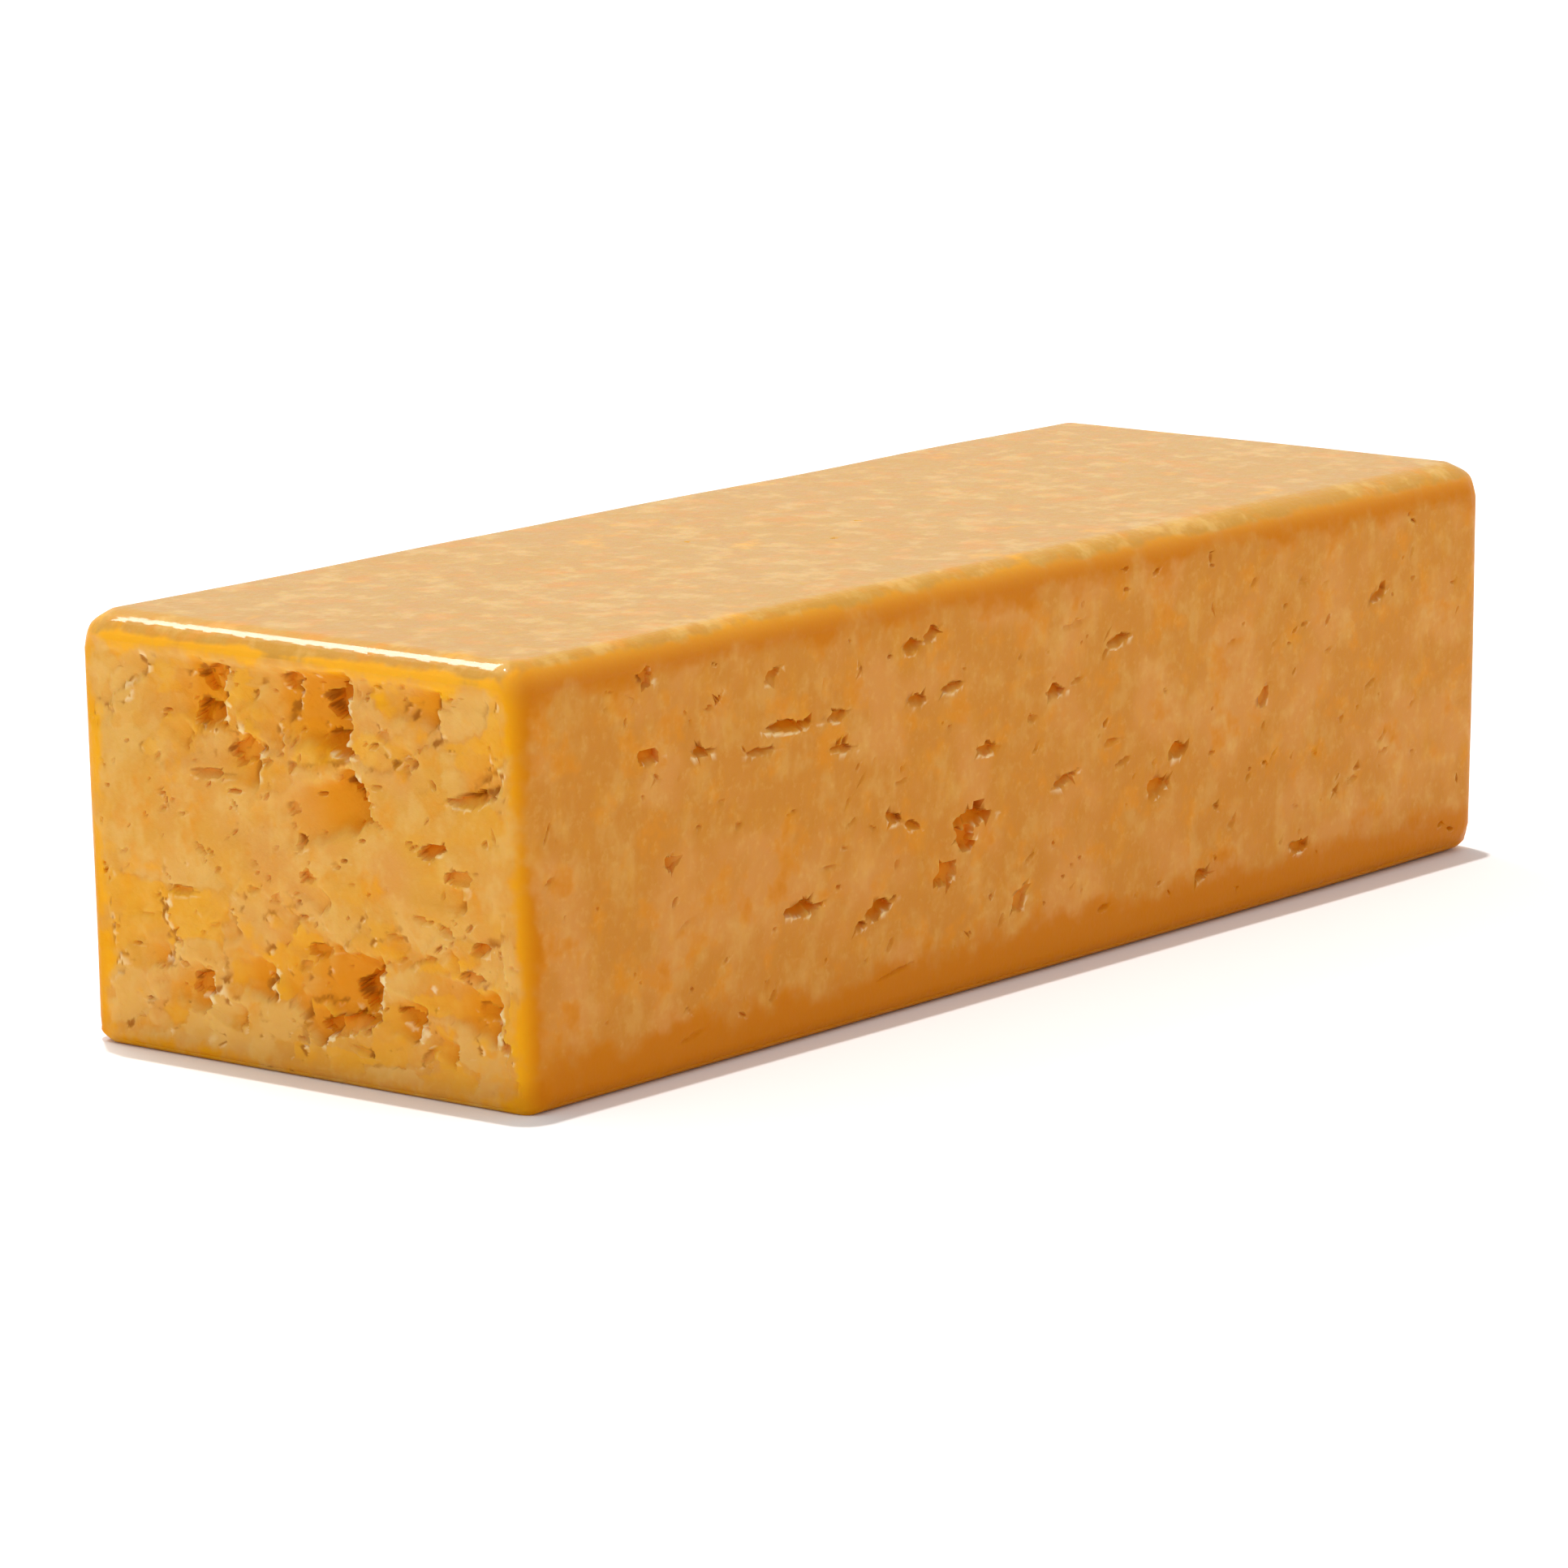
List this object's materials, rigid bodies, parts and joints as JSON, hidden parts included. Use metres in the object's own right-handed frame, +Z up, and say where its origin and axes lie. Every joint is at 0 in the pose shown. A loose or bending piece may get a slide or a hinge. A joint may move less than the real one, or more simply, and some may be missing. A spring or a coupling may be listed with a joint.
{
  "type": "cheddar block",
  "caption": "Retail block of orange cheddar: a long rectangular bar with rounded edges, pressed-curd openings and one torn, craggy end.",
  "frame": {"origin": "middle of the flat side that the block rests on", "axes": "+X along the block, away from its torn end; +Y across it; +Z up, from the side it rests on"},
  "size_m": [0.136, 0.0465, 0.035],
  "materials": {
    "cheddar_block": "waxy, slightly moist orange cheese, semi-gloss and faintly translucent"
  },
  "bodies": {
    "root": {"cheddar_block": "cheddar_block"}
  },
  "joints": []
}
